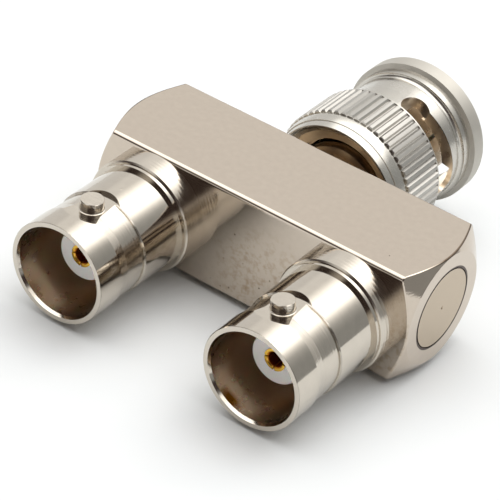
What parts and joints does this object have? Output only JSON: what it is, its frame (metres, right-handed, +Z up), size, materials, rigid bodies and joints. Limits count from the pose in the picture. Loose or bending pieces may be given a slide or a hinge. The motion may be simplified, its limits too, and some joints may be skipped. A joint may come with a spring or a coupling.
{
  "type": "bnc tee adapter",
  "caption": "Coaxial splitter adapter: a square nickel-plated bar with parallel bayonet jacks on one side and a bayonet plug with a turning, sprung coupling nut on the other.",
  "frame": {"origin": "on the plug's axis, at the front face of the flange that a mating jack's rim seats on", "axes": "+Y out of the plug, X along the bar, +Z up; the jacks open towards -Y"},
  "size_m": [0.0332, 0.0409, 0.0142],
  "materials": {
    "nickel_bar": "nickel plate, satin milled faces",
    "nickel_plug": "nickel plate, satin",
    "nickel_shell": "nickel plate, bright turned",
    "nickel_nut": "nickel plate, bright turned with a fluted grip",
    "nickel_contact": "nickel plate, bright",
    "insulator_white": "white fluoropolymer, waxy",
    "gold_contact": "gold plate, bright",
    "inner_brass": "bare brass",
    "gasket_red": "silicone rubber",
    "spring_bronze": "spring bronze"
  },
  "bodies": {
    "adapter": {"bar_block": "nickel_bar", "end_plug_left": "nickel_plug", "end_plug_right": "nickel_plug", "jack_shell_left": "nickel_shell", "jack_shell_right": "nickel_shell", "jack_insulator_left": "insulator_white", "jack_insulator_right": "insulator_white", "socket_contact_left": "gold_contact", "socket_contact_right": "gold_contact", "bus_bar": "inner_brass", "bus_insulator_left": "insulator_white", "bus_insulator_right": "insulator_white", "plug_body": "nickel_shell", "outer_contact": "nickel_contact", "plug_insulator": "insulator_white", "pin_contact": "gold_contact", "face_gasket": "gasket_red", "wave_washer_front": "spring_bronze", "wave_washer_rear": "spring_bronze"},
    "washer": {"thrust_washer": "spring_bronze"},
    "nut": {"coupling_nut": "nickel_nut", "retaining_ring": "spring_bronze"}
  },
  "joints": [
    {"name": "nut_slide", "type": "slide", "parent": "adapter", "child": "washer", "axis": [0, 1, 0], "range_m": [0, 0.0008], "stiffness_N_per_m": 20000, "springref_m": -0.0002, "deforming": ["wave_washer_front", "wave_washer_rear"]},
    {"name": "nut_turn", "type": "hinge", "parent": "washer", "child": "nut", "pos_m": [0, 0, 0], "axis": [0, 1, 0], "continuous": true}
  ]
}
